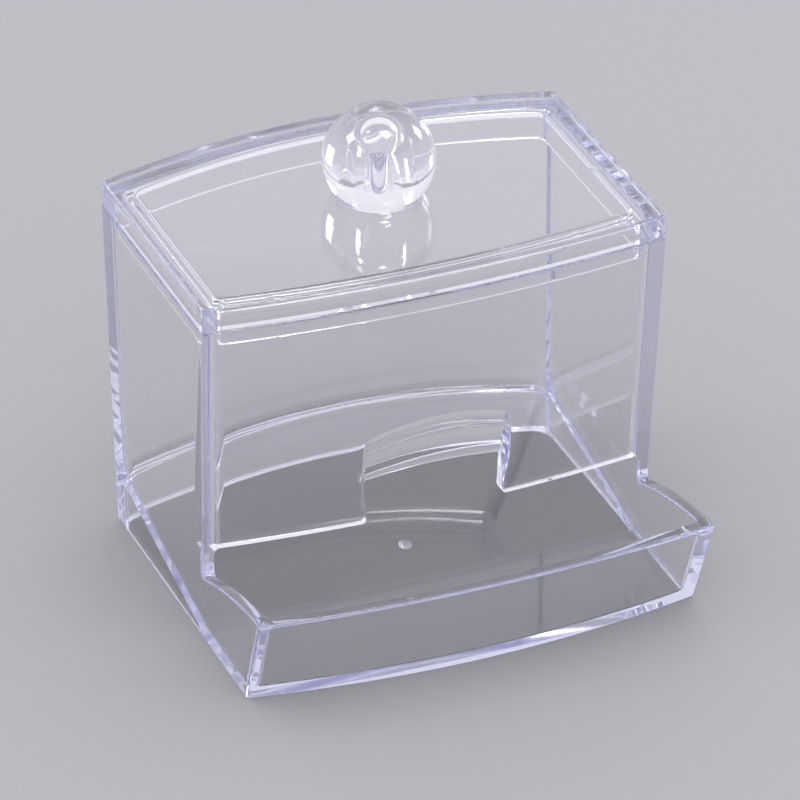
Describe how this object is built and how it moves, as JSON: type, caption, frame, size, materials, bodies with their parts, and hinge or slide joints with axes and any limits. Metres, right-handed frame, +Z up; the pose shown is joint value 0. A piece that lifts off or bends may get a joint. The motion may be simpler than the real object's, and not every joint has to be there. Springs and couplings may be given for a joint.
{
  "type": "lidded cosmetics organizer box",
  "caption": "Clear moulded toiletry box with a lift-off ball-knob lid, a sloped chamber floor, a finger notch and an open front dispensing tray.",
  "frame": {"origin": "centre of the bounding box's bottom face, on the table", "axes": "+X to the right across the width, -Y towards the open front tray, +Z up"},
  "size_m": [0.093, 0.0882, 0.0912],
  "materials": {
    "clear_box": "clear moulded styrene plastic, polished",
    "clear_lid": "clear moulded styrene plastic, polished",
    "clear_knob": "clear moulded styrene plastic, polished"
  },
  "bodies": {
    "root": {"box": "clear_box", "lid": "clear_lid", "knob": "clear_knob"}
  },
  "joints": []
}
